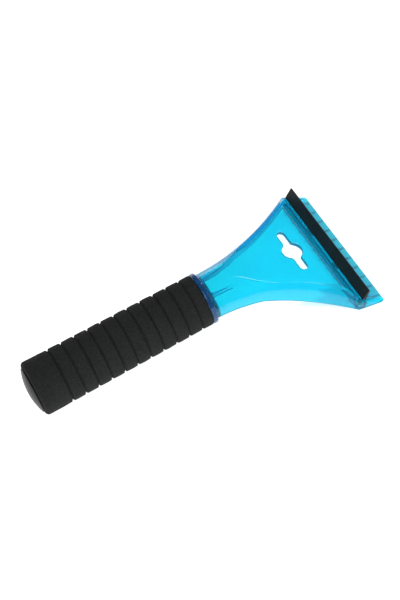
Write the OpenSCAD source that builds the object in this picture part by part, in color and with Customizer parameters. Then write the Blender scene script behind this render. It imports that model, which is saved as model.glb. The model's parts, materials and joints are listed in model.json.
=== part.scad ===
// Windshield ice scraper: a clear blue fan-shaped head with an ice blade and a
// rubber squeegee, on a tubular handle core inside a grooved foam grip.
// Handle frame: X runs along the handle axis towards the blade, Z is up, and the
// origin is on the axis where the foam grip meets the collar. Each module is drawn
// in the handle frame and then laid on the ground by rest_pose().

/* [Foam grip] */
// Length of the foam sleeve
grip_len = 117.5; // [100:0.5:140]
// Diameter of the sleeve at the butt
grip_butt_d = 36.4; // [34:0.2:40]
// Diameter of the sleeve at the collar
grip_collar_d = 34; // [32:0.2:36]
// Number of grooves round the sleeve
groove_count = 11; // [6:1:12]
// Distance from the butt to the first groove
first_groove = 18.7; // [12:0.1:20]
// Distance from the last groove to the collar
last_groove = 7.5; // [5:0.1:12]
// Width of a groove at the surface
groove_w = 2; // [1.6:0.1:3]
// Depth of a groove
groove_depth = 1.4; // [0.5:0.1:1.5]
// Rounding of the sleeve's butt edge
butt_round = 2.5; // [1:0.1:4]

/* [Handle core] */
// Outer diameter of the core tube
core_d = 22; // [20:0.5:24]
// Bore of the core tube
core_bore = 17; // [14:0.5:18]
// Diameter of the collar at the front of the core
collar_d = 34.4; // [34.2:0.1:38]
// Thickness of the collar
collar_t = 3.5; // [2.5:0.1:5]
// Diameter of the domed end cap
cap_d = 30; // [25:0.5:31]
// How far the end cap stands out of the grip
cap_rise = 2.8; // [1.5:0.1:4]

/* [Head] */
// Width of the ice blade
head_w = 101.6; // [92:0.2:110]
// Width of the head at the collar
neck_w = 32; // [30:0.5:34]
// How far the head's rim plane is turned down from the handle axis, in degrees
head_slope = 15.6; // [14:0.1:17]
// Thickness of the top plate
plate_t = 2.2; // [1.8:0.1:2.8]
// Thickness of the side walls
wall_t = 2.4; // [2:0.1:3]
// Height of the front edge of the plate above the rim plane
front_h = 7.3; // [7:0.1:8]
// Length of the ice blade, from the front edge of the plate to the cutting edge
blade_len = 17.3; // [15:0.1:20]
// Thickness of the cutting edge
edge_t = 0.76; // [0.5:0.02:1]
// Radius of the blade's two corners
corner_r = 1.3; // [0.8:0.1:4]
// Number of gussets under the ice blade
gusset_count = 11; // [7:2:13]
// Distance between gussets
gusset_pitch = 8.85; // [7:0.05:9]
// Thickness of a gusset
gusset_t = 1.4; // [1:0.1:2]

/* [Hang hole] */
// Radius of the round middle of the hang hole
hang_r = 6.5; // [5:0.1:7]
// Overall length of the hang slot across the head
hang_len = 34; // [28:0.5:38]
// Width of the hang slot
hang_w = 4.8; // [4.6:0.1:4.8]

/* [Squeegee] */
// Length of the rubber lip across the head
strip_len = 98.2; // [88:0.2:99]
// How far the rubber lip stands out of the head
lip_len = 7.9; // [6:0.1:10]
// Thickness of the rubber where it leaves the head
strip_t = 2.4; // [2:0.1:2.6]
// Thickness of the rubber at the lip
lip_t = 1.2; // [0.8:0.1:1.6]
// Diameter of the bead that holds the rubber in its channel
bead_d = 3.2; // [2.8:0.1:3.4]
// Depth of the bead's centre below the blade face
bead_depth = 3.6; // [3.2:0.1:3.8]
// Angle between the rubber and the handle axis, in degrees
strip_angle = 50; // [48:0.5:54]

/* [Hidden] */
$fn = 64;

// Grip and core
butt_x = -grip_len;
butt_r = grip_butt_d / 2;
collar_r = grip_collar_d / 2;
groove_pitch = (grip_len - first_groove - last_groove) / (groove_count - 1);
collar_edge = 1.1;
cap_r = cap_d / 2;
cap_base = 0.8;
plug_len = 14;
plug_wall = 2;
spigot_len = 24;
spigot_wall = 2.5;

// Rim plane of the head: local p runs forward in the plane and q stands up from it.
// p = 0 is just behind the front edge of the plate.
tray_x = 82.94;
tray_z = -19.3;
neck_p = -92;
flare_p = -80;
flare_end_p = -0.6;
flare_power = 2;
front_p = 0.75;
tip_p = front_p + blade_len;
bow = [[flare_p, 3.0], [-53, 10.3], [-21.6, 15.7], [front_p, front_h]];
neck_bend_p = -52;
neck_bend_slope = 0.226;

// Crown of the top plate: a gentle shoulder along the rim, and a high arch at the neck
panel_crown = 2.6;
neck_arch = 5.2;
arch_start_p = -72;
arch_end_p = -40;
shoulder_w = 3.6;
shoulder_steps = 6;
panel_bend = 52;
crown_fade = 9;
least_crown = 0.06;

// Inside of the head
front_wall_p = -1.3;
cavity_p = -88;
wall_draft = 1.7;
least_draft = 0.3;
pocket_start_p = 3.9;
pocket_end_p = 16.2;
pocket_roof = 2;
neck_gusset_y = 6.8;
neck_gusset_splay = 5.4;
neck_gusset_t = 1.8;
neck_gusset_x = 22;
neck_gusset_low_z = 5.3;
neck_gusset_end_z = 7.9;
back_wall = 2;

// Hang hole: centre on the plate, measured along the rim plane
hang_p = -21.8;
hang_slope = 4.5;

// Squeegee channel: its mouth is this far along the blade face from the front edge
mouth_along = 2.1;
face_angle = atan2(front_h - edge_t, blade_len);
bead_gap = 0.05;
// The channel stops short of the head's sides, and so does the rubber inside it
channel_len = head_w - 2 * wall_t;
root_len = min(strip_len, channel_len) - 2 * bead_gap;
lip_gap = 0.1;
peg_y = 15.9;
peg_w = 5;
peg_t = 1.6;
peg_len = 4;
peg_q = 5;

function mix(a, b, t) = a + (b - a) * t;
function clamp01(t) = min(1, max(0, t));
function smooth(t) = let (u = clamp01(t)) u * u * (3 - 2 * u);
function bezier(c, t) = pow(1 - t, 3) * c[0] + 3 * t * pow(1 - t, 2) * c[1]
    + 3 * t * t * (1 - t) * c[2] + t * t * t * c[3];

// Half width of the head at p: a flare that opens towards the blade
function half_w(p) = p >= flare_end_p ? head_w / 2
    : mix(neck_w / 2, head_w / 2, pow(max(0, p - flare_p) / (flare_end_p - flare_p), flare_power));
function blade_half_w(p) = let (d = max(0, p - (tip_p - corner_r)))
    head_w / 2 - corner_r + sqrt(max(0, corner_r * corner_r - d * d));

// Height of the plate's side edge above the rim plane at p, found on the bow curve
function bow_t(p, lo = 0, hi = 1, n = 24) = n == 0 ? (lo + hi) / 2
    : let (m = (lo + hi) / 2) bezier(bow, m)[0] < p ? bow_t(p, m, hi, n - 1) : bow_t(p, lo, m, n - 1);
function edge_q(p) = p > front_p ? front_h - (p - front_p) * tan(face_angle)
    : p < flare_p ? bow[0][1] + (p - flare_p) * tan(head_slope) : bezier(bow, bow_t(p))[1];
function rim_q(p) = min(0, (p - neck_bend_p) * neck_bend_slope);
function arch_t(p) = 1 - smooth((p - arch_start_p) / (arch_end_p - arch_start_p));
function crown(p) = max(least_crown,
    (panel_crown + neck_arch * arch_t(p)) * smooth((front_p - p) / crown_fade));
function shoulder(p, w) = mix(shoulder_w, w * 0.92, pow(arch_t(p), 2));

function draft(p) = least_draft + wall_draft * (1 - arch_t(p));

// The crowned top of one cross-section, from one side to the other. The shoulder meets
// the panel in a soft crease, which fades into the round arch of the neck.
function shoulder_rise(p, k) = let (bend = mix(panel_bend, 90, arch_t(p)))
    crown(p) * sin(bend * k / shoulder_steps) / sin(bend);
function top_line(p, w, drop) = let (
        s = min(w - 1, shoulder(p, w)),
        base = edge_q(p) - drop,
        left = [for (k = [0 : shoulder_steps])
            [p, -w + s * k / shoulder_steps, base + shoulder_rise(p, k)]],
        right = [for (k = [shoulder_steps : -1 : 0])
            [p, w - s * k / shoulder_steps, base + shoulder_rise(p, k)]])
    concat(left, right);
function outer_section(p, w, foot) = concat(top_line(p, w, 0), [[p, w, foot], [p, -w, foot]]);
// The inside of the walls leans out from the plate to the rim
function inner_section(p, w, foot) = concat(top_line(p, w - draft(p), plate_t),
    [[p, w, rim_q(p)], [p, w, foot], [p, -w, foot], [p, -w, rim_q(p)]]);

module loft(rings) {
    n = len(rings[0]);
    last = len(rings) - 1;
    walls = [for (i = [0 : last - 1], j = [0 : n - 1])
        [i * n + j, i * n + (j + 1) % n, (i + 1) * n + (j + 1) % n, (i + 1) * n + j]];
    back = [[for (j = [n - 1 : -1 : 0]) j]];
    front = [[for (j = [0 : n - 1]) last * n + j]];
    polyhedron(points = [for (r = rings) each r], faces = concat(walls, back, front), convexity = 6);
}

// Lay the scraper on the ground, on its butt edge and the underside of its blade
blade_foot = [tray_x + tip_p * cos(head_slope), tray_z - tip_p * sin(head_slope)];
blade_nose_x = blade_foot[0] + edge_t * sin(head_slope);
blade_nose_z = blade_foot[1] + edge_t * cos(head_slope);
butt_foot = [butt_x + butt_round, -(butt_r - butt_round)];
foot_span = blade_foot - butt_foot;
rest_tilt = -asin(butt_round / norm(foot_span)) - atan2(foot_span[1], foot_span[0]);
rest_lift = -(blade_foot[0] * sin(rest_tilt) + blade_foot[1] * cos(rest_tilt));
nose_x = blade_nose_x * cos(rest_tilt) - blade_nose_z * sin(rest_tilt);
cap_x = (butt_x - cap_base - cap_rise) * cos(rest_tilt);

module rest_pose() {
    translate([-(nose_x + cap_x) / 2, 0, rest_lift]) rotate([0, -rest_tilt, 0]) children();
}

module on_rim_plane() {
    translate([tray_x, 0, tray_z]) rotate([0, head_slope, 0]) children();
}

module across(width) {
    rotate([90, 0, 0]) linear_extrude(width, center = true) children();
}

module head_outside() {
    neck_ps = [for (p = [neck_p : 4 : -16]) p];
    front_ps = [for (p = [-13 : 2 : -1]) p];
    tip_ps = [for (a = [0 : 22.5 : 90]) tip_p - corner_r + corner_r * sin(a)];
    loft([
        for (p = concat(neck_ps, front_ps)) outer_section(p, half_w(p), rim_q(p)),
        outer_section(front_p, head_w / 2, 0),
        for (p = tip_ps) outer_section(p, blade_half_w(p), 0)
    ]);
}

module head_cavity() {
    foot_below = -12;
    loft([
        for (p = concat([for (q = [cavity_p : 4 : -5]) q], [front_wall_p]))
            inner_section(p, half_w(p) - wall_t, foot_below)
    ]);
}

// Triangular hollows between the gussets under the blade
module blade_pockets() {
    half_count = (gusset_count - 1) / 2;
    end_y = head_w / 2 - wall_t;
    edges = concat([-end_y], [for (i = [-half_count : half_count]) i * gusset_pitch], [end_y]);
    for (i = [0 : len(edges) - 2]) {
        low = edges[i] + (i == 0 ? 0 : gusset_t / 2);
        high = edges[i + 1] - (i == len(edges) - 2 ? 0 : gusset_t / 2);
        translate([0, (low + high) / 2, 0]) across(high - low) polygon([
            [pocket_start_p, -1],
            [pocket_start_p, edge_q(pocket_start_p) - pocket_roof],
            [pocket_end_p, 0.1],
            [pocket_end_p, -1]
        ]);
    }
}

// Frame at the mouth of the squeegee channel: local Z points out along the rubber
module at_mouth() {
    on_rim_plane()
        translate([front_p + mouth_along * cos(face_angle), 0, front_h - mouth_along * sin(face_angle)])
            rotate([0, 90 - strip_angle - head_slope, 0]) children();
}

module strip_channel() {
    at_mouth() across(channel_len) {
        translate([-strip_t / 2, -bead_depth]) square([strip_t, bead_depth + 2]);
        translate([0, -bead_depth]) circle(d = bead_d + 2 * bead_gap);
    }
}

module hang_frame() {
    on_rim_plane()
        translate([hang_p, 0, edge_q(hang_p) + crown(hang_p)]) rotate([0, hang_slope, 0]) children();
}

module hang_cut() {
    depth = 12;
    slot_r = hang_w / 2;
    hang_frame() {
        cylinder(h = depth, r = hang_r, center = true);
        cube([hang_w, hang_len - hang_w, depth], center = true);
        for (side = [-1, 1])
            translate([0, side * (hang_len / 2 - slot_r), 0])
                cylinder(h = depth, r = slot_r, center = true);
    }
}

module peg_shape() {
    on_rim_plane()
        for (side = [-1, 1])
            translate([front_wall_p, side * peg_y - peg_w / 2, peg_q - peg_t / 2])
                cube([peg_len, peg_w, peg_t]);
}

// Two fins under the arch of the neck, in front of the collar, splayed with the head
module neck_gussets() {
    start_x = collar_t + 1;
    length = neck_gusset_x - start_x;
    top_z = 12;
    for (side = [-1, 1])
        translate([start_x, side * neck_gusset_y, 0]) rotate([0, 0, side * neck_gusset_splay])
            across(neck_gusset_t) polygon([
                [0, neck_gusset_low_z],
                [0, top_z],
                [length, top_z],
                [length, neck_gusset_end_z]
            ]);
}

module scraper_head() {
    reach = 200;
    color([0.1, 0.78, 0.93, 0.75]) rest_pose() {
        difference() {
            intersection() {
                on_rim_plane() head_outside();
                translate([collar_t, -reach / 2, -reach / 2]) cube(reach);
            }
            difference() {
                on_rim_plane() head_cavity();
                translate([collar_t - 50, -reach / 2, -reach / 2]) cube([50 + back_wall, reach, reach]);
                neck_gussets();
            }
            on_rim_plane() blade_pockets();
            strip_channel();
            hang_cut();
            peg_shape();
        }
        rotate([0, 90, 0]) translate([0, 0, -spigot_len]) difference() {
            cylinder(h = spigot_len + collar_t + back_wall / 2, d = core_bore);
            translate([0, 0, -1]) cylinder(h = spigot_len + 1, d = core_bore - 2 * spigot_wall);
        }
    }
}

module handle_core() {
    c = collar_edge;
    color([0.06, 0.3, 0.6]) rest_pose() rotate([0, 90, 0]) difference() {
        union() {
            translate([0, 0, butt_x]) cylinder(h = grip_len + collar_t, d = core_d);
            rotate_extrude() polygon(concat([[0, 0]],
                [for (a = [-90 : 22.5 : 0]) [collar_d / 2 - c + c * cos(a), c + c * sin(a)]],
                [for (a = [0 : 22.5 : 90]) [collar_d / 2 - c + c * cos(a), collar_t - c + c * sin(a)]],
                [[0, collar_t]]));
        }
        translate([0, 0, butt_x - 1]) cylinder(h = grip_len + collar_t + 2, d = core_bore);
    }
}

module foam_grip() {
    function sleeve_r(x) = mix(collar_r, butt_r, -x / grip_len);
    grooves = [for (i = [0 : groove_count - 1]) butt_x + first_groove + i * groove_pitch];
    // Outline of one groove: rounded shoulders and a narrow bottom
    groove_shape = [[-1, 0], [-0.62, 0.22], [-0.3, 0.62], [-0.1, 1],
        [0.1, 1], [0.3, 0.62], [0.62, 0.22], [1, 0]];
    color([0.13, 0.14, 0.135]) rest_pose() rotate([0, 90, 0]) rotate_extrude() polygon(concat(
        [[core_d / 2, 0], [core_d / 2, butt_x]],
        [for (a = [-90 : 18 : 0]) [butt_r - butt_round + butt_round * cos(a),
            butt_x + butt_round + butt_round * sin(a)]],
        [for (g = grooves) for (s = groove_shape)
            [sleeve_r(g + s[0] * groove_w / 2) - s[1] * groove_depth, g + s[0] * groove_w / 2]],
        [[collar_r, -0.6], [collar_r - 0.6, 0]]));
}

module squeegee_strip() {
    bevel = 0.5;
    color([0.09, 0.1, 0.1]) rest_pose() difference() {
        at_mouth() {
            across(strip_len) polygon([
                [-strip_t / 2, lip_gap],
                [strip_t / 2, lip_gap],
                [strip_t / 2, 0.6],
                [lip_t - strip_t / 2, lip_len - bevel],
                [lip_t - strip_t / 2 - bevel / 2, lip_len],
                [-strip_t / 2, lip_len]
            ]);
            across(root_len) {
                translate([-strip_t / 2, -bead_depth]) square([strip_t, bead_depth + 0.5]);
                translate([0, -bead_depth]) circle(d = bead_d);
            }
        }
        peg_shape();
    }
}

module strip_pegs() {
    color([0.7, 0.9, 0.95]) rest_pose() peg_shape();
}

module end_cap() {
    dome_r = (cap_r * cap_r + cap_rise * cap_rise) / (2 * cap_rise);
    dome_a = asin(cap_r / dome_r);
    color([0.03, 0.03, 0.035]) rest_pose() rotate([0, 90, 0]) translate([0, 0, butt_x]) {
        rotate_extrude() polygon(concat(
            [[0, 0], [cap_r, 0]],
            [for (i = [0 : 8]) let (a = dome_a * (1 - i / 8))
                [dome_r * sin(a), -cap_base - cap_rise + dome_r - dome_r * cos(a)]]));
        difference() {
            translate([0, 0, -cap_base / 2]) cylinder(h = plug_len, d = core_bore);
            translate([0, 0, 1]) cylinder(h = plug_len, d = core_bore - 2 * plug_wall);
        }
    }
}

scraper_head();
handle_core();
foam_grip();
squeegee_strip();
strip_pegs();
end_cap();
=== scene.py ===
"""Looks of the windshield ice scraper: clear blue head, rubber squeegee, foam grip, collar and end cap.

Lengths are in millimetres in the frame they are drawn in: HANDLE along the handle's axis, and RIM in the
plane of the head's rim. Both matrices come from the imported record's mounts and lead to metres in the row
frame, so the pieces sit where the CAD says.
"""

import json
import math

import bmesh
import bpy
import numpy as np
from mathutils import Matrix, Vector


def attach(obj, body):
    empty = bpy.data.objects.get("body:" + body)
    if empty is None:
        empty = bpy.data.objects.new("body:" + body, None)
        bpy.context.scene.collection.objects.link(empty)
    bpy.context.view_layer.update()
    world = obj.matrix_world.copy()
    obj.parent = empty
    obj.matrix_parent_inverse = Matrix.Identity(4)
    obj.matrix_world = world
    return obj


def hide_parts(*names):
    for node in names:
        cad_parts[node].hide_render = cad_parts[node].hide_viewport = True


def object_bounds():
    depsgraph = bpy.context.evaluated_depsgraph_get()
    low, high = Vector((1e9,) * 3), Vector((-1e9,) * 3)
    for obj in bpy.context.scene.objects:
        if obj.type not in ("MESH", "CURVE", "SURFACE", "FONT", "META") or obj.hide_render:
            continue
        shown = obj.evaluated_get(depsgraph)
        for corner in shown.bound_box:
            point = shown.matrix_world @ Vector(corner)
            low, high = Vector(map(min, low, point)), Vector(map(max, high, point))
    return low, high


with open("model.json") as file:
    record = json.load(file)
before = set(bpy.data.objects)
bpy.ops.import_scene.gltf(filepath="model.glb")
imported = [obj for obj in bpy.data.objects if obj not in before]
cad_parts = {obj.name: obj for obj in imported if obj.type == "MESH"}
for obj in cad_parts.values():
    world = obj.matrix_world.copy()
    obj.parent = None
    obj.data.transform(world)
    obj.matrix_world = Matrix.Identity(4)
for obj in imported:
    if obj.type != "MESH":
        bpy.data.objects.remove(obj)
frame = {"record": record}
cad_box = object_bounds()
MM = 0.001

# ---------------------------------------------------------------- sizes, in millimetres
# Foam grip and core, along the handle axis; x = 0 is where the foam meets the collar
GRIP_LEN = 117.5
BUTT_R, COLLAR_END_R = 18.2, 17.0
BUTT_ROUND = 2.5
GROOVES, FIRST_GROOVE, LAST_GROOVE = 11, 18.7, 7.5
GROOVE_W, GROOVE_DEPTH = 2.0, 1.4
CORE_R, CORE_BORE_R = 11.0, 8.5
COLLAR_R, COLLAR_T, COLLAR_EDGE = 17.2, 3.5, 1.1
CAP_R, CAP_BASE, CAP_RISE = 15.0, 0.8, 2.8
PLUG_LEN, PLUG_WALL = 14.0, 2.0
SPIGOT_LEN, SPIGOT_WALL = 24.0, 2.5

# Head, in the rim plane's frame: p forward in the plane, q up from it
HEAD_W, NECK_W = 101.6, 32.0
PLATE_T, WALL_T = 2.2, 2.4
FRONT_H, BLADE_LEN, EDGE_T, CORNER_R = 7.3, 17.3, 0.76, 1.3
FLARE_P, FLARE_END_P, FLARE_POWER = -80.0, -0.6, 2.0
FRONT_P = 0.75
TIP_P = FRONT_P + BLADE_LEN
BOW = ((FLARE_P, 3.0), (-53.0, 10.3), (-21.6, 15.7), (FRONT_P, FRONT_H))
NECK_BEND_P, NECK_BEND_SLOPE = -52.0, 0.226
PANEL_CROWN, NECK_ARCH = 2.6, 5.2
ARCH_START_P, ARCH_END_P = -72.0, -40.0
SHOULDER_W, CROWN_FADE = 3.6, 9.0
PANEL_BEND = 52.0
FRONT_WALL_P, BACK_WALL = -1.3, 2.0
WALL_DRAFT = 2.0
GUSSETS, GUSSET_PITCH, GUSSET_T = 11, 8.85, 1.4
POCKET_START_P, POCKET_END_P, POCKET_ROOF = 3.9, 16.2, 2.0
FIN_Y, FIN_T, FIN_X = 6.8, 1.8, 22.0
FIN_SPLAY = math.tan(math.radians(5.4))
FIN_LOW_Z, FIN_END_Z = 5.3, 7.9
HANG_R, HANG_LEN, HANG_W = 6.5, 34.0, 4.8
STRIP_LEN, LIP_LEN, STRIP_T, LIP_T = 98.2, 7.9, 2.4, 1.2
BEAD_R, BEAD_DEPTH, MOUTH_ALONG = 1.6, 3.6, 2.1
STRIP_ANGLE = 50.0
CHANNEL_LEN = HEAD_W - 2 * WALL_T
ROOT_LEN = CHANNEL_LEN - 0.2
LIP_GAP = 0.1
PEG_Y, PEG_W, PEG_T, PEG_LEN, PEG_Q = 15.9, 5.0, 1.6, 4.0, 5.0
BLADE_MARK_P = 16.2
# Air between pieces that touch, so that clear faces never lie on each other
SEAM = 0.05

# Rounding where the head's surfaces meet: outside, inside the tray, in the pockets, and between these
SHOULDER_ROUND, RIM_ROUND, TIP_ROUND, COLLAR_ROUND = 3.0, 0.7, 0.5, 0.3
ROOF_ROUND, FRONT_ROUND, BACK_ROUND, FIN_ROUND = 3.0, 1.6, 1.2, 1.0
POCKET_ROOF_ROUND, POCKET_WALL_ROUND = 1.2, 0.9
TRAY_LIP, POCKET_LIP, CHANNEL_LIP, HANG_LIP = 0.8, 0.4, 0.35, 0.6

# ---------------------------------------------------------------- frames
mounts = {m["name"]: m for m in frame["record"]["mounts"]}
across = Vector((0, 1, 0))


def frame_matrix(origin, forward):
    """Local X forward, Y across, Z up, from millimetres to metres in the row frame."""
    up = forward.cross(across)
    turn = Matrix((forward, across, up)).transposed().to_4x4()
    return Matrix.Translation(origin) @ turn @ Matrix.Scale(MM, 4)


handle_axis = Vector(mounts["grip"]["axis"]).normalized()
handle_origin = Vector(mounts["grip"]["pos_m"]) + handle_axis * GRIP_LEN / 2 * MM
HANDLE = frame_matrix(handle_origin, handle_axis)

plane_up = -Vector(mounts["blade_underside"]["axis"]).normalized()
plane_forward = across.cross(plane_up)
rim_origin = Vector(mounts["blade_underside"]["pos_m"]) - plane_forward * BLADE_MARK_P * MM
RIM = frame_matrix(rim_origin, plane_forward)
RIM_TO_HANDLE = HANDLE.inverted() @ RIM

hang_up = Vector(mounts["hang_hole"]["axis"]).normalized()
HANG = frame_matrix(Vector(mounts["hang_hole"]["pos_m"]), across.cross(hang_up))
RIM_TO_HANG = HANG.inverted() @ RIM

FACE_ANGLE = math.atan2(FRONT_H - EDGE_T, BLADE_LEN)
HEAD_SLOPE = handle_axis.angle(plane_forward)
MOUTH_P = FRONT_P + MOUTH_ALONG * math.cos(FACE_ANGLE)
MOUTH_Q = FRONT_H - MOUTH_ALONG * math.sin(FACE_ANGLE)
# Direction of the rubber out of its channel, seen along the rim plane
RUBBER_TILT = math.radians(STRIP_ANGLE) + HEAD_SLOPE


def turned(matrix, p, y, q):
    """Coordinates of (p, y, q) in another frame, for arrays of points."""
    m = np.array(matrix)[:3]
    return [m[i, 0] * p + m[i, 1] * y + m[i, 2] * q + m[i, 3] for i in range(3)]


# ---------------------------------------------------------------- meshes
def new_piece(name, vertices, faces, matrix, body="root"):
    mesh = bpy.data.meshes.new(name)
    mesh.from_pydata([tuple(v) for v in vertices], [], [tuple(int(i) for i in f) for f in faces])
    mesh.transform(matrix)
    mesh.validate()
    mesh.shade_smooth()
    mesh.update()
    piece = bpy.data.objects.new(name, mesh)
    bpy.context.scene.collection.objects.link(piece)
    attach(piece, body)
    return piece


def lathe(name, outline, matrix, steps=128, bend=None):
    """Turn a closed outline of (x, r) points round the handle axis. bend adds to a point's radius."""
    vertices = []
    for x, r in outline:
        for k in range(steps):
            a = 2 * math.pi * k / steps
            radius = r + (bend(x, a, r) if bend else 0)
            vertices.append((x, radius * math.cos(a), radius * math.sin(a)))
    n = len(outline)
    faces = []
    for i in range(n):
        j = (i + 1) % n
        for k in range(steps):
            m = (k + 1) % steps
            faces.append((i * steps + k, i * steps + m, j * steps + m, j * steps + k))
    return new_piece(name, vertices, faces, matrix)


def arc(cx, cr, radius, start, end, steps):
    """Points of an arc in an outline, angles in degrees from the outward direction."""
    angles = [math.radians(start + (end - start) * i / steps) for i in range(steps + 1)]
    return [(cx + radius * math.sin(a), cr + radius * math.cos(a)) for a in angles]


def wander(a, b, seed):
    """A small smooth unevenness between -1 and 1."""
    return (
        math.sin(1.7 * a + 3.1 * math.cos(b + seed) + seed)
        + math.sin(2.9 * a * 0.31 + 2 * b + 1.3 * seed)
        + math.sin(0.83 * a - 3 * b + 2.1 * seed)
    ) / 3


# ---------------------------------------------------------------- the head as a smooth solid
def clamp01(t):
    return np.clip(t, 0, 1)


def ease(t):
    u = clamp01(t)
    return u * u * (3 - 2 * u)


def mix(a, b, t):
    return a + (b - a) * t


def join(a, b, k):
    """Smooth union of two fields."""
    h = np.maximum(k - np.abs(a - b), 0) / k
    return np.minimum(a, b) - h * h * k / 4


def meet(a, b, k):
    """Smooth intersection of two fields."""
    return -join(-a, -b, k)


def slab(v, low, high):
    return np.maximum(low - v, v - high)


def bow_table():
    t = np.linspace(0, 1, 400)
    weights = ((1 - t) ** 3, 3 * t * (1 - t) ** 2, 3 * t * t * (1 - t), t ** 3)
    return [sum(w * point[i] for w, point in zip(weights, BOW)) for i in (0, 1)]


BOW_P, BOW_Q = bow_table()


def edge_height(p):
    before = BOW[0][1] + (p - FLARE_P) * math.tan(HEAD_SLOPE)
    after = FRONT_H - (p - FRONT_P) * math.tan(FACE_ANGLE)
    return np.where(p > FRONT_P, after, np.where(p < FLARE_P, before, np.interp(p, BOW_P, BOW_Q)))


def half_width(p):
    flare = clamp01((p - FLARE_P) / (FLARE_END_P - FLARE_P)) ** FLARE_POWER
    return mix(NECK_W / 2, HEAD_W / 2, flare)


def arch_share(p):
    return 1 - ease((p - ARCH_START_P) / (ARCH_END_P - ARCH_START_P))


def crown_height(p, y, width):
    crown = (PANEL_CROWN + NECK_ARCH * arch_share(p)) * ease((FRONT_P - p) / CROWN_FADE)
    shoulder = mix(SHOULDER_W, width * 0.92, arch_share(p) ** 2)
    bend = np.radians(mix(PANEL_BEND, 90, arch_share(p)))
    return crown * np.sin(bend * clamp01((width - np.abs(y)) / shoulder)) / np.sin(bend)


def rim_height(p):
    return np.minimum(0, (p - NECK_BEND_P) * NECK_BEND_SLOPE)


def side_slope(p):
    """Cosine of the angle between a side wall and the tool's length."""
    slope = half_width(p + 0.5) - half_width(p - 0.5)
    return 1 / np.sqrt(1 + slope * slope)


# Height above the sloping plate to distance from it
TOP_LEAN = 0.95


def outer_field(p, y, q, handle_x):
    width = half_width(p)
    top = (q - edge_height(p) - crown_height(p, y, width)) * TOP_LEAN
    side = (np.abs(y) - width) * side_slope(p)
    under = rim_height(p) - q
    ahead = np.maximum(p - TIP_P + CORNER_R, 0)
    beside = np.maximum(np.abs(y) - HEAD_W / 2 + CORNER_R, 0)
    corner = np.hypot(ahead, beside) - CORNER_R
    shell = meet(top, side, SHOULDER_ROUND)
    shell = meet(shell, under, RIM_ROUND)
    shell = meet(shell, np.maximum(p - TIP_P, corner), TIP_ROUND)
    return meet(shell, COLLAR_T + SEAM - handle_x, COLLAR_ROUND)


def fin_field(y, handle_x, handle_z):
    """Two triangular fins under the arch of the neck, splayed with the head."""
    along = handle_x - COLLAR_T - 1
    rise = (FIN_END_Z - FIN_LOW_Z) / (FIN_X - COLLAR_T - 1)
    lower = FIN_LOW_Z + along * rise - handle_z
    thin = np.abs(np.abs(y) - FIN_Y - along * FIN_SPLAY) - FIN_T / 2
    return np.maximum(np.maximum(thin, lower), handle_x - FIN_X)


def cavity_field(p, y, q, handle_x, handle_z):
    width = half_width(p)
    inside = width - WALL_T
    roof = edge_height(p) + crown_height(p, y, width) - PLATE_T
    height = np.maximum(roof - rim_height(p), 2)
    draft = (0.3 + WALL_DRAFT * (1 - arch_share(p))) * clamp01((q - rim_height(p)) / height)
    side = (np.abs(y) - inside + draft) * side_slope(p)
    hollow = meet((q - roof) * TOP_LEAN, side, ROOF_ROUND)
    hollow = meet(hollow, p - FRONT_WALL_P, FRONT_ROUND)
    hollow = meet(hollow, COLLAR_T + BACK_WALL - handle_x, BACK_ROUND)
    return meet(hollow, -fin_field(y, handle_x, handle_z), FIN_ROUND)


def pocket_field(p, y, q):
    """Hollows between the gussets under the blade."""
    half = (GUSSETS - 1) / 2 * GUSSET_PITCH
    nearest = np.abs(y - GUSSET_PITCH * np.round(np.clip(y, -half, half) / GUSSET_PITCH))
    beside = GUSSET_T / 2 - nearest
    end = np.abs(y) - HEAD_W / 2 + WALL_T
    roof_start = edge_height(np.array(POCKET_START_P)) - POCKET_ROOF
    slope = roof_start / (POCKET_END_P - POCKET_START_P)
    roof = (q - (POCKET_END_P - p) * slope) / math.hypot(1, slope)
    field = meet(np.maximum(beside, end), roof, POCKET_ROOF_ROUND)
    return meet(field, POCKET_START_P - p, POCKET_WALL_ROUND)


def channel_field(p, y, q):
    """The slot and bead seat of the rubber, closed at the head's sides."""
    along = (p - MOUTH_P) * math.cos(RUBBER_TILT) + (q - MOUTH_Q) * math.sin(RUBBER_TILT)
    aside = (p - MOUTH_P) * math.sin(RUBBER_TILT) - (q - MOUTH_Q) * math.cos(RUBBER_TILT)
    slot = np.maximum(np.abs(aside) - STRIP_T / 2, slab(along, -BEAD_DEPTH, 9))
    bead = np.hypot(aside, along + BEAD_DEPTH) - BEAD_R - SEAM
    return np.maximum(join(slot, bead, 0.3), np.abs(y) - CHANNEL_LEN / 2)


def hang_field(p, y, q):
    x, _, z = turned(RIM_TO_HANG, p, y, q)
    disc = np.hypot(x, y) - HANG_R
    reach = np.maximum(np.abs(y) - HANG_LEN / 2 + HANG_W / 2, 0)
    slot = np.hypot(x, reach) - HANG_W / 2
    return np.maximum(join(disc, slot, 1.2), slab(z, -8, 8))


def peg_field(p, y, q):
    near = np.abs(np.abs(y) - PEG_Y) - PEG_W / 2
    high = np.abs(q - PEG_Q) - PEG_T / 2
    return np.maximum(np.maximum(near, high), slab(p, FRONT_WALL_P - 1, FRONT_WALL_P + PEG_LEN))


def spigot_field(y, handle_x, handle_z):
    r = np.hypot(y, handle_z)
    tube = np.maximum(r - CORE_BORE_R + SEAM, CORE_BORE_R - SPIGOT_WALL - r)
    return np.maximum(tube, slab(handle_x, -SPIGOT_LEN, COLLAR_T + 1))


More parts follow.
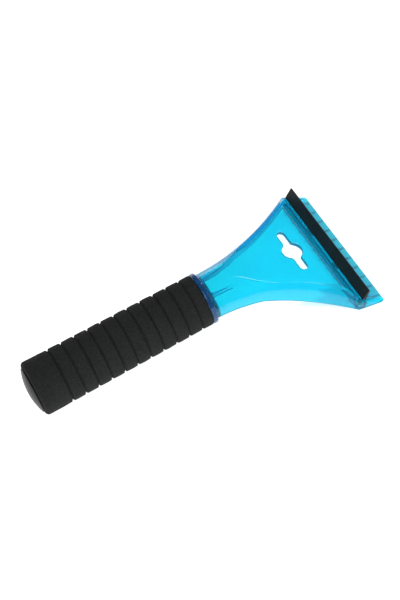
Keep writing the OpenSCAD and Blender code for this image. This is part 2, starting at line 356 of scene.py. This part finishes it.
def head_field(p, y, q):
    """Below zero inside the head's plastic."""
    handle_x, _, handle_z = turned(RIM_TO_HANDLE, p, y, q)
    tray = cavity_field(p, y, q, handle_x, handle_z)
    solid = meet(outer_field(p, y, q, handle_x), -tray, TRAY_LIP)
    solid = meet(solid, -pocket_field(p, y, q), POCKET_LIP)
    solid = meet(solid, -channel_field(p, y, q), CHANNEL_LIP)
    solid = meet(solid, -hang_field(p, y, q), HANG_LIP)
    solid = np.maximum(solid, -peg_field(p, y, q))
    return np.minimum(solid, spigot_field(y, handle_x, handle_z))


def net(field, low, high, cell):
    """Vertices and quads of the field's zero surface: one vertex in each cell that it crosses."""
    axes = [np.arange(a - cell, b + 2 * cell, cell) for a, b in zip(low, high)]
    grid = np.meshgrid(*axes, indexing="ij")
    value = field(*grid).astype(np.float32)
    inside = value < 0
    shape = [n - 1 for n in value.shape]
    total = np.zeros(shape + [3], np.float32)
    count = np.zeros(shape, np.int8)
    corners = [(i, j, k) for i in (0, 1) for j in (0, 1) for k in (0, 1)]

    def view(array, c):
        return array[c[0] : c[0] + shape[0], c[1] : c[1] + shape[1], c[2] : c[2] + shape[2]]

    for a in corners:
        for axis in range(3):
            if a[axis]:
                continue
            b = tuple(v + (i == axis) for i, v in enumerate(a))
            va, vb = view(value, a), view(value, b)
            crossed = view(inside, a) != view(inside, b)
            step = np.where(crossed, va / np.where(crossed, va - vb, 1), 0)
            for i in range(3):
                total[..., i] += crossed * (a[i] + (step if i == axis else 0))
            count += crossed
    active = count > 0
    index = np.full(shape, -1, np.int64)
    index[active] = np.arange(active.sum())
    cells = np.argwhere(active)
    start = np.array([a[0] for a in axes])
    points = start + cell * (cells + total[active] / count[active][:, None])
    quads = []
    for axis in range(3):
        u, v = (axis + 1) % 3, (axis + 2) % 3
        lower = [slice(0, n - 1) for n in inside.shape]
        upper = list(lower)
        upper[axis] = slice(1, inside.shape[axis])
        one, two = inside[tuple(lower)], inside[tuple(upper)]
        for mask, flip in ((one & ~two, False), (~one & two, True)):
            places = np.argwhere(mask)
            places = places[(places[:, u] > 0) & (places[:, v] > 0)]
            ring = []
            for du, dv in ((0, 0), (1, 0), (1, 1), (0, 1)):
                c = places.copy()
                c[:, u] -= du
                c[:, v] -= dv
                ring.append(index[c[:, 0], c[:, 1], c[:, 2]])
            quads.append(np.stack(ring if not flip else ring[::-1], 1))
    return points, np.concatenate(quads)


def settle(field, points, rounds, reach):
    """Move points onto the field's zero surface, no further than reach in a round."""
    step, flattest = 0.02, 0.2
    for _ in range(rounds):
        value = field(*points.T)
        slope = np.stack([field(*(points + step * e).T) - value for e in np.eye(3)], 1) / step
        move = -value[:, None] * slope / np.maximum((slope ** 2).sum(1), flattest)[:, None]
        size = np.linalg.norm(move, axis=1, keepdims=True)
        points = points + move * np.minimum(1, reach / np.maximum(size, 1e-9))
    return points


def relax(points, quads, share):
    """Even out the net: each vertex moves towards the middle of its neighbours."""
    total = np.zeros_like(points)
    count = np.zeros(len(points))
    for a in range(4):
        b = (a + 1) % 4
        for i, j in ((a, b), (b, a)):
            np.add.at(total, quads[:, i], points[quads[:, j]])
            np.add.at(count, quads[:, i], 1)
    return mix(points, total / np.maximum(count, 1)[:, None], share)


def make_head(cell):
    back, bottom, top = -110, -20, 17.5
    rounds, evened = 5, 0.5
    points, quads = net(head_field, (back, -HEAD_W / 2, bottom), (TIP_P, HEAD_W / 2, top), cell)
    for _ in range(rounds):
        points = relax(points, quads, evened)
        points = settle(head_field, points, 2, cell / 2)
    return new_piece("scraper_head_clear", points, quads, RIM)


# ---------------------------------------------------------------- other pieces
def sleeve_radius(x):
    return mix(COLLAR_END_R, BUTT_R, -x / GRIP_LEN)


def make_grip():
    pitch = (GRIP_LEN - FIRST_GROOVE - LAST_GROOVE) / (GROOVES - 1)
    places = [-GRIP_LEN + FIRST_GROOVE + i * pitch for i in range(GROOVES)]
    half = GROOVE_W / 2

    def depth(x):
        near = min(abs(x - g) for g in places)
        return GROOVE_DEPTH * max(0.0, 1 - near / half) ** 1.1 + 0.15 * math.exp(-((near / 2.2) ** 2))

    body = np.arange(-GRIP_LEN + BUTT_ROUND, -0.5, 0.3)
    butt_r = BUTT_R - BUTT_ROUND
    outline = [(-GRIP_LEN, CORE_R + 0.01), (-GRIP_LEN, 13.5), (-GRIP_LEN, butt_r)]
    outline += arc(-GRIP_LEN + BUTT_ROUND, butt_r, BUTT_ROUND, -80, -5, 8)
    outline += [(x, sleeve_radius(x) - depth(x)) for x in body]
    outline += [(-0.25, COLLAR_END_R - 0.2), (0, COLLAR_END_R - 0.6), (0, 14), (0, CORE_R + 0.01)]

    def unevenness(x, a, r):
        if r < butt_r or r > BUTT_R - 0.2 and x < -GRIP_LEN + 1:
            return 0
        return 0.09 * wander(x * 0.45, a, 1.0) - 0.09

    return lathe("foam_grip_sleeve", outline, HANDLE, steps=168, bend=unevenness)


def make_core():
    c = COLLAR_EDGE
    ring = COLLAR_R - c
    outline = [(-GRIP_LEN, CORE_BORE_R), (-GRIP_LEN, CORE_R), (0, CORE_R), (0, ring - 2)]
    outline += arc(c, ring, c, -90, 0, 6)
    outline += arc(COLLAR_T - c, ring, c, 0, 90, 6)
    outline += [(COLLAR_T, CORE_R), (COLLAR_T, CORE_BORE_R)]
    return lathe("collar_and_core", outline, HANDLE)


def make_cap():
    """A shallow dome with a hollow plug. Its outline stops just short of the axis."""
    dome_r = (CAP_R ** 2 + CAP_RISE ** 2) / (2 * CAP_RISE)
    half = math.asin(CAP_R / dome_r)
    tip = -GRIP_LEN - CAP_BASE - CAP_RISE
    plug_end = -GRIP_LEN + PLUG_LEN
    plug_r = CORE_BORE_R - 0.02
    bevel, axis_r, steps = 0.5, 0.02, 24
    outline = [(plug_end, CORE_BORE_R - PLUG_WALL), (plug_end, CORE_BORE_R - bevel)]
    outline += [(plug_end - bevel, plug_r), (-GRIP_LEN, plug_r)]
    outline += [(-GRIP_LEN, CAP_R - 0.3), (-GRIP_LEN - 0.15, CAP_R - 0.08)]
    outline += [(-GRIP_LEN - CAP_BASE + 0.2, CAP_R)]
    for i in range(steps):
        a = half * (1 - i / steps) * 0.985
        outline.append((tip + dome_r - dome_r * math.cos(a), dome_r * math.sin(a)))
    outline.append((tip, axis_r))
    inner = [(-GRIP_LEN + 1, axis_r), (-GRIP_LEN + 1, CORE_BORE_R - PLUG_WALL)]
    return lathe("end_cap_dome", outline + inner, HANDLE)


def rubber_run(outline, length, steps):
    """Vertices and faces of an outline run across the head, wavering a little towards the lip."""
    vertices, faces = [], []
    n = len(outline)
    for i in range(steps + 1):
        y = length * (i / steps - 0.5)
        for side, out in outline:
            wave = 0.12 * wander(y * 0.12, 0.4, 2.0) * max(0.0, out / LIP_LEN)
            p = MOUTH_P + out * math.cos(RUBBER_TILT) + (side + wave) * math.sin(RUBBER_TILT)
            q = MOUTH_Q + out * math.sin(RUBBER_TILT) - (side + wave) * math.cos(RUBBER_TILT)
            vertices.append((p, y, q))
    for i in range(steps):
        for j in range(n):
            k = (j + 1) % n
            faces.append((i * n + j, i * n + k, (i + 1) * n + k, (i + 1) * n + j))
    faces.append(list(range(n - 1, -1, -1)))
    faces.append([steps * n + j for j in range(n)])
    return vertices, faces


def make_strip():
    """The rubber: a thin lip over a root that ends in a round bead."""
    half = STRIP_T / 2
    thin = LIP_T - half
    r = 0.25
    lip = [(-half, LIP_GAP), (-half, LIP_LEN / 2), (-half, LIP_LEN - r), (r - half, LIP_LEN)]
    lip += [(thin - 2 * r, LIP_LEN), (thin, LIP_LEN - 2 * r), (mix(thin, half, 0.5), LIP_LEN / 2)]
    lip += [(half, 0.6), (half, LIP_GAP)]
    stem = half - SEAM
    root = [(-stem, 1 - BEAD_DEPTH), (-stem, LIP_GAP), (stem, LIP_GAP), (stem, 1 - BEAD_DEPTH)]
    neck_angle, steps = 40, 12
    for k in range(1, steps):
        a = math.radians(neck_angle + k * (360 - 2 * neck_angle) / steps)
        root.append((BEAD_R * math.sin(a), -BEAD_DEPTH + BEAD_R * math.cos(a)))
    strip = new_piece("squeegee_rubber", *rubber_run(lip, STRIP_LEN, 80), RIM)
    seated = new_piece("squeegee_root", *rubber_run(root, ROOT_LEN, 40), RIM)
    for piece in (strip, seated):
        piece.data.set_sharp_from_angle(angle=math.radians(40))
    return strip, seated


def make_pegs():
    mesh = bmesh.new()
    play = 0.02
    for side in (-1, 1):
        made = bmesh.ops.create_cube(mesh, size=1)["verts"]
        bmesh.ops.scale(mesh, vec=(PEG_LEN - play, PEG_W - play, PEG_T - play), verts=made)
        middle = (FRONT_WALL_P + PEG_LEN / 2, side * PEG_Y, PEG_Q)
        bmesh.ops.translate(mesh, vec=middle, verts=made)
    bmesh.ops.bevel(mesh, geom=list(mesh.edges), offset=0.2, segments=2, affect="EDGES")
    data = bpy.data.meshes.new("strip_pegs_clear")
    mesh.to_mesh(data)
    data.transform(RIM)
    data.shade_smooth()
    data.set_sharp_from_angle(angle=math.radians(50))
    pegs = bpy.data.objects.new("strip_pegs_clear", data)
    bpy.context.scene.collection.objects.link(pegs)
    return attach(pegs, "root")


# ---------------------------------------------------------------- materials
def material(name):
    made = bpy.data.materials.new(name)
    made.use_nodes = True
    tree = made.node_tree
    tree.nodes.clear()
    output = tree.nodes.new("ShaderNodeOutputMaterial")
    shader = tree.nodes.new("ShaderNodeBsdfPrincipled")
    tree.links.new(shader.outputs["BSDF"], output.inputs["Surface"])
    return made, tree, shader, output


def noise(tree, scale, detail, roughness=0.5):
    """Noise over the piece's own coordinates, which are metres in the row frame."""
    where = tree.nodes.new("ShaderNodeTexCoord")
    made = tree.nodes.new("ShaderNodeTexNoise")
    made.inputs["Scale"].default_value = scale
    made.inputs["Detail"].default_value = detail
    made.inputs["Roughness"].default_value = roughness
    tree.links.new(where.outputs["Object"], made.inputs["Vector"])
    return made


# Nearly all of a noise's values lie between these
NOISE_LOW, NOISE_HIGH = 0.3, 0.7


def ramp(tree, source, *tints):
    """A noise's values turned into colours between two tints."""
    made = tree.nodes.new("ShaderNodeValToRGB")
    for element, place, tint in zip(made.color_ramp.elements, (NOISE_LOW, NOISE_HIGH), tints):
        element.position = place
        element.color = tint
    tree.links.new(source, made.inputs["Fac"])
    return made


def map_range(tree, value, start, end, low, high):
    made = tree.nodes.new("ShaderNodeMapRange")
    for name, number in zip(("From Min", "From Max", "To Min", "To Max"), (start, end, low, high)):
        made.inputs[name].default_value = number
    tree.links.new(value, made.inputs["Value"])
    return made


def spread_value(tree, source, low, high):
    """A noise's values spread over a range."""
    return map_range(tree, source, NOISE_LOW, NOISE_HIGH, low, high).outputs["Result"]


def bump(tree, shader, source, strength, distance, under=None):
    made = tree.nodes.new("ShaderNodeBump")
    made.inputs["Strength"].default_value = strength
    made.inputs["Distance"].default_value = distance
    tree.links.new(source, made.inputs["Height"])
    if under:
        tree.links.new(under.outputs["Normal"], made.inputs["Normal"])
    tree.links.new(made.outputs["Normal"], shader.inputs["Normal"])
    return made


def clear_plastic(name, tints, depth_tint, density, clearness):
    """Tinted clear plastic: darker the further light travels in it. Lamps shine through it."""
    made, tree, shader, output = material(name)
    cloud = noise(tree, 38, 3)
    colour = ramp(tree, cloud.outputs["Fac"], *tints)
    tree.links.new(colour.outputs["Color"], shader.inputs["Base Color"])
    shader.inputs["Transmission Weight"].default_value = clearness
    shader.inputs["IOR"].default_value = 1.45
    fine = noise(tree, 420, 4)
    tree.links.new(spread_value(tree, fine.outputs["Fac"], 0.02, 0.07), shader.inputs["Roughness"])
    waves = noise(tree, 45, 1)
    bump(tree, shader, waves.outputs["Fac"], 0.1, 0.0002)
    absorb = tree.nodes.new("ShaderNodeVolumeAbsorption")
    absorb.inputs["Color"].default_value = depth_tint
    absorb.inputs["Density"].default_value = density
    tree.links.new(absorb.outputs["Volume"], output.inputs["Volume"])
    see = tree.nodes.new("ShaderNodeBsdfTransparent")
    see.inputs["Color"].default_value = tints[1]
    path = tree.nodes.new("ShaderNodeLightPath")
    both = tree.nodes.new("ShaderNodeMixShader")
    tree.links.new(path.outputs["Is Shadow Ray"], both.inputs["Fac"])
    tree.links.new(shader.outputs["BSDF"], both.inputs[1])
    tree.links.new(see.outputs["BSDF"], both.inputs[2])
    tree.links.new(both.outputs["Shader"], output.inputs["Surface"])
    return made


def foam_material():
    made, tree, shader, _ = material("black_foam")
    cells = noise(tree, 1500, 5, 0.62)
    patches = noise(tree, 130, 3)
    colour = ramp(tree, cells.outputs["Fac"], (0.012, 0.0134, 0.0127, 1), (0.042, 0.0448, 0.0432, 1))
    tone = ramp(tree, patches.outputs["Fac"], (0.85, 0.85, 0.85, 1), (1, 1, 1, 1))
    both = tree.nodes.new("ShaderNodeMix")
    both.data_type = "RGBA"
    both.blend_type = "MULTIPLY"
    both.inputs["Factor"].default_value = 1
    tree.links.new(colour.outputs["Color"], both.inputs["A"])
    tree.links.new(tone.outputs["Color"], both.inputs["B"])
    tree.links.new(both.outputs["Result"], shader.inputs["Base Color"])
    tree.links.new(spread_value(tree, cells.outputs["Fac"], 0.82, 0.97), shader.inputs["Roughness"])
    shader.inputs["Specular IOR Level"].default_value = 0.12
    pits = tree.nodes.new("ShaderNodeTexVoronoi")
    pits.inputs["Scale"].default_value = 1900
    where = tree.nodes.new("ShaderNodeTexCoord")
    tree.links.new(where.outputs["Object"], pits.inputs["Vector"])
    first = bump(tree, shader, pits.outputs["Distance"], 0.5, 0.0003)
    bump(tree, shader, cells.outputs["Fac"], 0.6, 0.0004, first)
    return made


def plain_material(name, dark, pale, rough, scale, grain, shine):
    """A moulded surface with faint mottling, uneven gloss and a fine grain."""
    made, tree, shader, _ = material(name)
    cloud = noise(tree, scale, 4)
    colour = ramp(tree, cloud.outputs["Fac"], dark, pale)
    tree.links.new(colour.outputs["Color"], shader.inputs["Base Color"])
    fine = noise(tree, scale * 9, 4)
    tree.links.new(spread_value(tree, fine.outputs["Fac"], rough[0], rough[1]), shader.inputs["Roughness"])
    shader.inputs["Specular IOR Level"].default_value = shine
    bump(tree, shader, fine.outputs["Fac"], grain, 0.0001)
    return made


def wear(piece, made, *nodes):
    piece.data.materials.clear()
    piece.data.materials.append(made)
    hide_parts(*nodes)


# ---------------------------------------------------------------- camera, light and floor
VIEW_FROM = Vector((-0.21022, -0.71289, 1.00957))
VIEW_AT = Vector((0.00982, 0.00109, 0.02000))
VIEW_ROLL = math.radians(13.50)
# 36 mm of sensor along the picture's longer side, and a long lens
LENS = 120


def make_camera():
    data = bpy.data.cameras.new("view")
    data.lens = LENS
    data.sensor_width = 36
    data.sensor_fit = "AUTO"
    data.clip_start = 0.01
    data.clip_end = 20
    camera = bpy.data.objects.new("view", data)
    look = (VIEW_AT - VIEW_FROM).to_track_quat("-Z", "Y").to_matrix()
    roll = Matrix.Rotation(-VIEW_ROLL, 3, "Z")
    camera.matrix_world = Matrix.Translation(VIEW_FROM) @ (look @ roll).to_4x4()
    bpy.context.scene.collection.objects.link(camera)
    bpy.context.scene.camera = camera


def area_light(name, place, aim, size, power):
    data = bpy.data.lights.new(name, "AREA")
    data.shape = "RECTANGLE"
    data.size, data.size_y = size
    data.energy = power
    light = bpy.data.objects.new(name, data)
    light.location = place
    light.rotation_euler = (Vector(aim) - Vector(place)).to_track_quat("-Z", "Y").to_euler()
    bpy.context.scene.collection.objects.link(light)


def calculate(tree, kind, *values):
    """A math node. Values are numbers or sockets."""
    made = tree.nodes.new("ShaderNodeMath")
    made.operation = kind
    for i, value in enumerate(values):
        if isinstance(value, bpy.types.NodeSocket):
            tree.links.new(value, made.inputs[i])
        else:
            made.inputs[i].default_value = value
    return made.outputs["Value"]


def fade(tree, value, start, end, low, high):
    """A smooth step from low at start to high at end."""
    made = map_range(tree, value, start, end, low, high)
    made.interpolation_type = "SMOOTHSTEP"
    return made.outputs["Result"]


def floor_glow_with_painted_shade(tree):
    """The floor's own glow, with painted shade under parts of the head that stands in for the head's
    shadow.

    The glow is painted weaker under the blade, most in one line under each gusset, and beside the near
    side wall.
    Lengths are in metres. On the floor the head is a neck that flares out to the blade's width.
    """
    where = tree.nodes.new("ShaderNodeTexCoord")
    parts = tree.nodes.new("ShaderNodeSeparateXYZ")
    tree.links.new(where.outputs["Object"], parts.inputs["Vector"])
    x, y = parts.outputs["X"], parts.outputs["Y"]
    nose = cad_box[1][0]
    neck_half, head_half, flare_start, flare_len = 0.014, 0.048, nose - 0.098, 0.078
    from_neck = calculate(tree, "DIVIDE", calculate(tree, "SUBTRACT", x, flare_start), flare_len)
    flare = calculate(tree, "POWER", calculate(tree, "MAXIMUM", from_neck, 0), 2)
    flared = calculate(tree, "MULTIPLY_ADD", flare, head_half - neck_half, neck_half)
    half = calculate(tree, "MINIMUM", flared, head_half)
    inside = calculate(tree, "SUBTRACT", half, calculate(tree, "ABSOLUTE", y))
    covered = fade(tree, inside, 0, 0.003, 0, 1)
    ahead = fade(tree, x, nose - 0.0004, nose + 0.0002, 1, 0)
    pitches = calculate(tree, "DIVIDE", y, GUSSET_PITCH * MM)
    off_gusset = calculate(tree, "SUBTRACT", pitches, calculate(tree, "ROUND", pitches))
    # How strong the painted shade is between the gussets and beside the near wall, and the open floor's
    # even glow
    painted_shade_between_gussets, painted_shade_near_wall, open_floor = 0.45, 0.5, 0.9
    # Painted shade under the blade, full in one line under each gusset
    gussets = fade(tree, calculate(tree, "ABSOLUTE", off_gusset), 0.05, 0.1, 1, painted_shade_between_gussets)
    under_blade = fade(tree, x, nose - 0.021, nose - 0.017, 0, 1)
    blade = calculate(tree, "MULTIPLY", gussets, under_blade)
    # Painted shade beside the near side wall, growing towards the front
    near_side = fade(tree, y, -0.024, -0.02, 1, 0)
    near_side = calculate(tree, "MULTIPLY", near_side, fade(tree, inside, 0.001, 0.007, 0, 1))
    along = fade(tree, x, nose - 0.09, nose - 0.025, 0, painted_shade_near_wall)
    wall = calculate(tree, "MULTIPLY", near_side, along)
    shade = calculate(tree, "MAXIMUM", blade, wall)
    shade = calculate(tree, "MULTIPLY", shade, ahead)
    shade = calculate(tree, "MULTIPLY", shade, covered)
    return calculate(tree, "MULTIPLY", calculate(tree, "SUBTRACT", 1, shade), open_floor)


def make_stage():
    size = 6.0
    floor_mesh = bpy.data.meshes.new("floor")
    corners = [(-size, -size, 0), (size, -size, 0), (size, size, 0), (-size, size, 0)]
    floor_mesh.from_pydata(corners, [], [(0, 1, 2, 3)])
    floor = bpy.data.objects.new("floor", floor_mesh)
    floor.location.z = cad_box[0][2] - 0.0002
    bpy.context.scene.collection.objects.link(floor)
    paper, tree, shader, _ = material("pale_floor")
    mottle = noise(tree, 3, 2)
    pale = ramp(tree, mottle.outputs["Fac"], (0.78, 0.78, 0.78, 1), (0.8, 0.8, 0.8, 1))
    tree.links.new(pale.outputs["Color"], shader.inputs["Base Color"])
    shader.inputs["Roughness"].default_value = 0.9
    shader.inputs["Specular IOR Level"].default_value = 0.1
    shader.inputs["Emission Color"].default_value = (1, 1, 1, 1)
    # The floor glows evenly, with painted shade under the head standing in for its shadow
    tree.links.new(floor_glow_with_painted_shade(tree), shader.inputs["Emission Strength"])
    floor_mesh.materials.append(paper)
    world = bpy.data.worlds.new("studio")
    world.use_nodes = True
    world.node_tree.nodes["Background"].inputs["Color"].default_value = (1, 1, 1, 1)
    world.node_tree.nodes["Background"].inputs["Strength"].default_value = 0.17
    bpy.context.scene.world = world
    bpy.context.scene.view_settings.view_transform = "Standard"
    area_light("key", (-0.9, -0.9, 1.7), (0, 0, 0), (1.2, 1.2), 18)
    area_light("fill", (1.6, -0.9, 1.0), (0, 0, 0), (1.2, 1.2), 6)
    area_light("back", (1.7, 1.25, 0.14), (0.09, 0, 0), (2.2, 0.2), 0.7)
    area_light("rim", (1.1, 0.7, 1.5), (0.04, 0, 0), (0.3, 1.0), 5)


# ---------------------------------------------------------------- assembly
make_camera()
make_stage()

CYAN = ((0.03, 0.72, 0.825, 1), (0.042, 0.77, 0.865, 1))
clear_blue = clear_plastic("clear_blue_plastic", CYAN, (0.0, 0.93, 0.978, 1), 1000, 0.82)
NAVY = ((0.02, 0.22, 0.46, 1), (0.03, 0.26, 0.52, 1))
navy = clear_plastic("clear_navy_plastic", NAVY, (0.2, 0.8, 0.92, 1), 400, 0.75)
foam = foam_material()
rubber = plain_material(
    "squeegee_black_rubber", (0.011, 0.014, 0.014, 1), (0.017, 0.021, 0.021, 1), (0.45, 0.6), 90, 0.15, 0.3
)
gloss = plain_material(
    "glossy_black_plastic", (0.010, 0.010, 0.012, 1), (0.015, 0.015, 0.018, 1), (0.3, 0.38), 70, 0.05, 0.08
)

HEAD_CELL = 0.54
head = make_head(HEAD_CELL)
wear(head, clear_blue, "scraper_head")

core = make_core()
wear(core, navy, "handle_core")
core.data.set_sharp_from_angle(angle=math.radians(40))

grip = make_grip()
wear(grip, foam, "foam_grip")

for strip in make_strip():
    wear(strip, rubber, "squeegee_strip")

pegs = make_pegs()
wear(pegs, clear_blue, "strip_pegs")

cap = make_cap()
wear(cap, gloss, "end_cap")
cap.data.set_sharp_from_angle(angle=math.radians(40))
